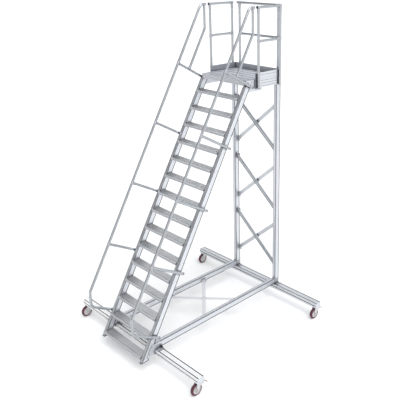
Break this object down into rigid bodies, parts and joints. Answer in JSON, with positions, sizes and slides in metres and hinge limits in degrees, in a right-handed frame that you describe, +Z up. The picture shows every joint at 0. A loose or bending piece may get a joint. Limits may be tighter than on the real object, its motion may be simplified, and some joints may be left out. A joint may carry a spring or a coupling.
{
  "type": "rolling warehouse ladder",
  "caption": "Mobile platform stair of aluminium profiles with tubular handrails, a guarded platform, a cross-braced rear frame and long outrigger beams on braked swivel casters.",
  "frame": {"origin": "bottom centre of the whole ladder's box, on the floor", "axes": "+X to the right of a person climbing, +Y from the first tread towards the platform's rear, +Z up"},
  "size_m": [2.822, 3.0725, 4.885],
  "materials": {
    "profile": "satin extruded profile",
    "tread": "ribbed extruded step",
    "deck": "ribbed extruded planks",
    "tube": "satin drawn tube",
    "brace": "satin flat and channel bars",
    "plate": "cut and bent plate",
    "zinc": "zinc-plated pressed steel",
    "hub": "light grey moulded hub",
    "tyre": "dark red polyurethane",
    "pedal": "coated brake lever",
    "black_plastic": "end plugs, caps and brace connectors",
    "dark_plate": "dark grey brackets",
    "fastener": "zinc-plated bolts and rivets"
  },
  "bodies": {
    "frame": {"stringer_left": "profile", "stringer_right": "profile", "tread_01": "tread", "tread_02": "tread", "tread_03": "tread", "tread_04": "tread", "tread_05": "tread", "tread_06": "tread", "tread_07": "tread", "tread_08": "tread", "tread_09": "tread", "tread_10": "tread", "tread_11": "tread", "tread_12": "tread", "tread_13": "tread", "tread_14": "tread", "tread_15": "tread", "platform_deck": "deck", "platform_front_beam": "profile", "platform_side_beam_left": "profile", "platform_side_beam_right": "profile", "platform_rear_beam": "profile", "toe_board_left": "profile", "toe_board_right": "profile", "toe_board_rear": "profile", "gusset_left": "plate", "gusset_right": "plate", "leg_left": "profile", "leg_right": "profile", "rear_brace_lower": "brace", "rear_brace_middle": "brace", "rear_brace_upper": "brace", "traverse_front": "profile", "traverse_rear": "profile", "base_beam_left": "profile", "base_beam_right": "profile", "base_brace": "brace", "front_bracket_left": "plate", "front_bracket_right": "plate", "side_railing_left": "tube", "side_railing_right": "tube", "rear_railing": "tube", "handrail_left": "tube", "handrail_right": "tube"},
    "caster_front_left": {"caster_fork_front_left": "zinc"},
    "wheel_front_left": {"caster_hub_front_left": "hub", "caster_tyre_front_left": "tyre"},
    "pedal_front_left": {"caster_pedal_front_left": "pedal"},
    "caster_front_right": {"caster_fork_front_right": "zinc"},
    "wheel_front_right": {"caster_hub_front_right": "hub", "caster_tyre_front_right": "tyre"},
    "pedal_front_right": {"caster_pedal_front_right": "pedal"},
    "caster_rear_left": {"caster_fork_rear_left": "zinc"},
    "wheel_rear_left": {"caster_hub_rear_left": "hub", "caster_tyre_rear_left": "tyre"},
    "pedal_rear_left": {"caster_pedal_rear_left": "pedal"},
    "caster_rear_right": {"caster_fork_rear_right": "zinc"},
    "wheel_rear_right": {"caster_hub_rear_right": "hub", "caster_tyre_rear_right": "tyre"},
    "pedal_rear_right": {"caster_pedal_rear_right": "pedal"}
  },
  "joints": [
    {"name": "swivel_front_left", "type": "hinge", "parent": "frame", "child": "caster_front_left", "pos_m": [-1.355, -1.101, 0.19], "axis": [0, 0, 1], "continuous": true},
    {"name": "roll_front_left", "type": "hinge", "parent": "caster_front_left", "child": "wheel_front_left", "pos_m": [-1.355, -1.145, 0.088], "axis": [1, 0, 0], "continuous": true},
    {"name": "brake_front_left", "type": "hinge", "parent": "caster_front_left", "child": "pedal_front_left", "pos_m": [-1.355, -1.041, 0.156], "axis": [-1, 0, 0], "range_deg": [0, 12]},
    {"name": "swivel_front_right", "type": "hinge", "parent": "frame", "child": "caster_front_right", "pos_m": [1.355, -1.101, 0.19], "axis": [0, 0, 1], "continuous": true},
    {"name": "roll_front_right", "type": "hinge", "parent": "caster_front_right", "child": "wheel_front_right", "pos_m": [1.355, -1.145, 0.088], "axis": [1, 0, 0], "continuous": true},
    {"name": "brake_front_right", "type": "hinge", "parent": "caster_front_right", "child": "pedal_front_right", "pos_m": [1.355, -1.041, 0.156], "axis": [-1, 0, 0], "range_deg": [0, 12]},
    {"name": "swivel_rear_left", "type": "hinge", "parent": "frame", "child": "caster_rear_left", "pos_m": [-1.355, 1.3845, 0.19], "axis": [0, 0, 1], "continuous": true},
    {"name": "roll_rear_left", "type": "hinge", "parent": "caster_rear_left", "child": "wheel_rear_left", "pos_m": [-1.355, 1.3405, 0.088], "axis": [1, 0, 0], "continuous": true},
    {"name": "brake_rear_left", "type": "hinge", "parent": "caster_rear_left", "child": "pedal_rear_left", "pos_m": [-1.355, 1.4445, 0.156], "axis": [-1, 0, 0], "range_deg": [0, 12]},
    {"name": "swivel_rear_right", "type": "hinge", "parent": "frame", "child": "caster_rear_right", "pos_m": [1.355, 1.3845, 0.19], "axis": [0, 0, 1], "continuous": true},
    {"name": "roll_rear_right", "type": "hinge", "parent": "caster_rear_right", "child": "wheel_rear_right", "pos_m": [1.355, 1.3405, 0.088], "axis": [1, 0, 0], "continuous": true},
    {"name": "brake_rear_right", "type": "hinge", "parent": "caster_rear_right", "child": "pedal_rear_right", "pos_m": [1.355, 1.4445, 0.156], "axis": [-1, 0, 0], "range_deg": [0, 12]}
  ]
}
